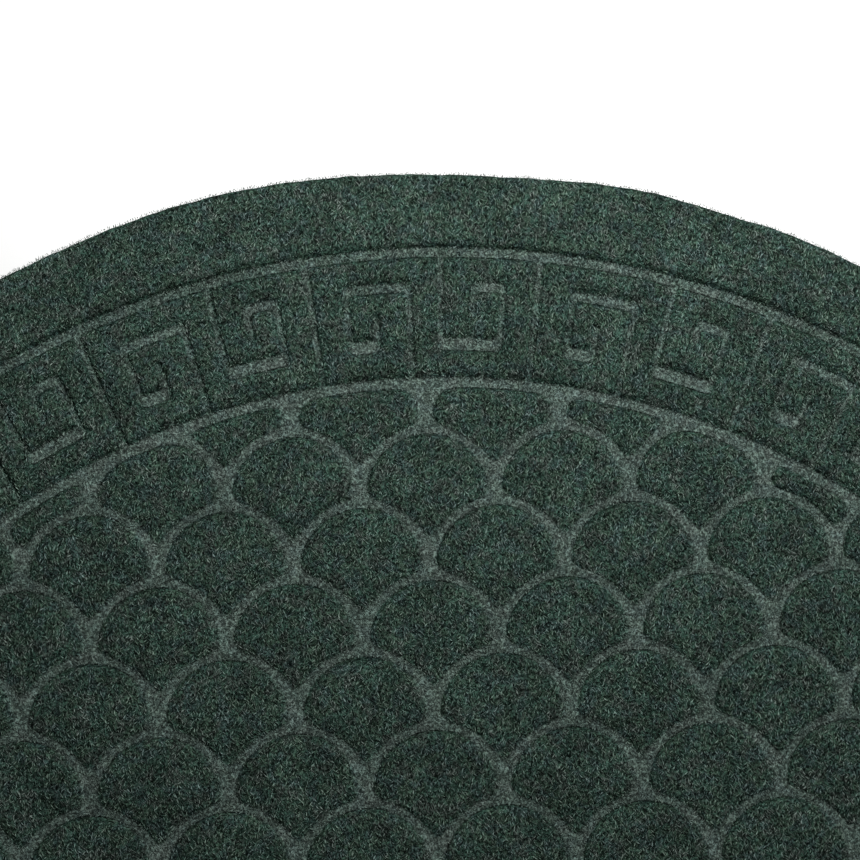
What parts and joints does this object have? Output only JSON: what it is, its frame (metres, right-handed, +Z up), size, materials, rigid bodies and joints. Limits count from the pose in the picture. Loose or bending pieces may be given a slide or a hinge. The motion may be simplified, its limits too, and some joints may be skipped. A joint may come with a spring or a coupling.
{
  "type": "half-round doormat",
  "caption": "Half-round doormat of green needle-punched felt, with a Greek key band and fish scales pressed into its upper face.",
  "frame": {"origin": "on the floor under the middle of the mat's bounding box", "axes": "+X along the straight edge, +Y from the straight edge to the crown of the half-round edge, +Z up out of the patterned face"},
  "size_m": [0.7498, 0.3742, 0.007],
  "materials": {
    "felt": "dark green melange needle-punched felt, short curly fibres standing on the raised lands and pressed flat and paler in the lines"
  },
  "bodies": {
    "root": {"mat": "felt"}
  },
  "joints": []
}
